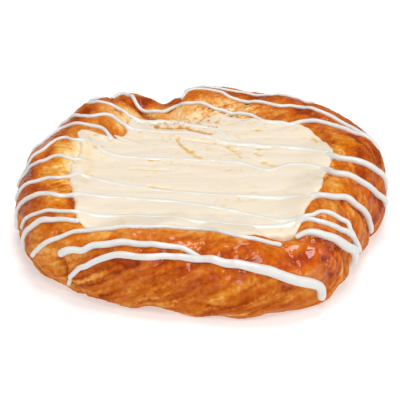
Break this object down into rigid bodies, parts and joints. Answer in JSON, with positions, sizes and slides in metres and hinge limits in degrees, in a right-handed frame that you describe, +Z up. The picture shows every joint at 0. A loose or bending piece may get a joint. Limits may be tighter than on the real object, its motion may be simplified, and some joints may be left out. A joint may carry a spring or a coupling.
{
  "type": "cheese danish",
  "caption": "Twisted rope of flaky pastry closed into a rounded square, its middle filled level with sweet cream cheese, with lines of white icing piped across both.",
  "frame": {"origin": "centre of the bounding box, on the plane that the pastry rests on", "axes": "+Z up out of the cream cheese; +X to the right along the longer side of the rounded square, as seen from the front; +Y to the back, where the tail of the rope is tucked in"},
  "size_m": [0.1146, 0.104, 0.0254],
  "materials": {
    "baked_dough": "baked golden-brown crust under a syrup glaze, glossy on the crests and dull low on the sides",
    "cream_cheese": "soft, slightly moist, spread with a knife",
    "icing": "white sugar icing, set, with a soft sheen"
  },
  "bodies": {
    "root": {"pastry": "baked_dough", "cheese_filling": "cream_cheese"}
  },
  "joints": []
}
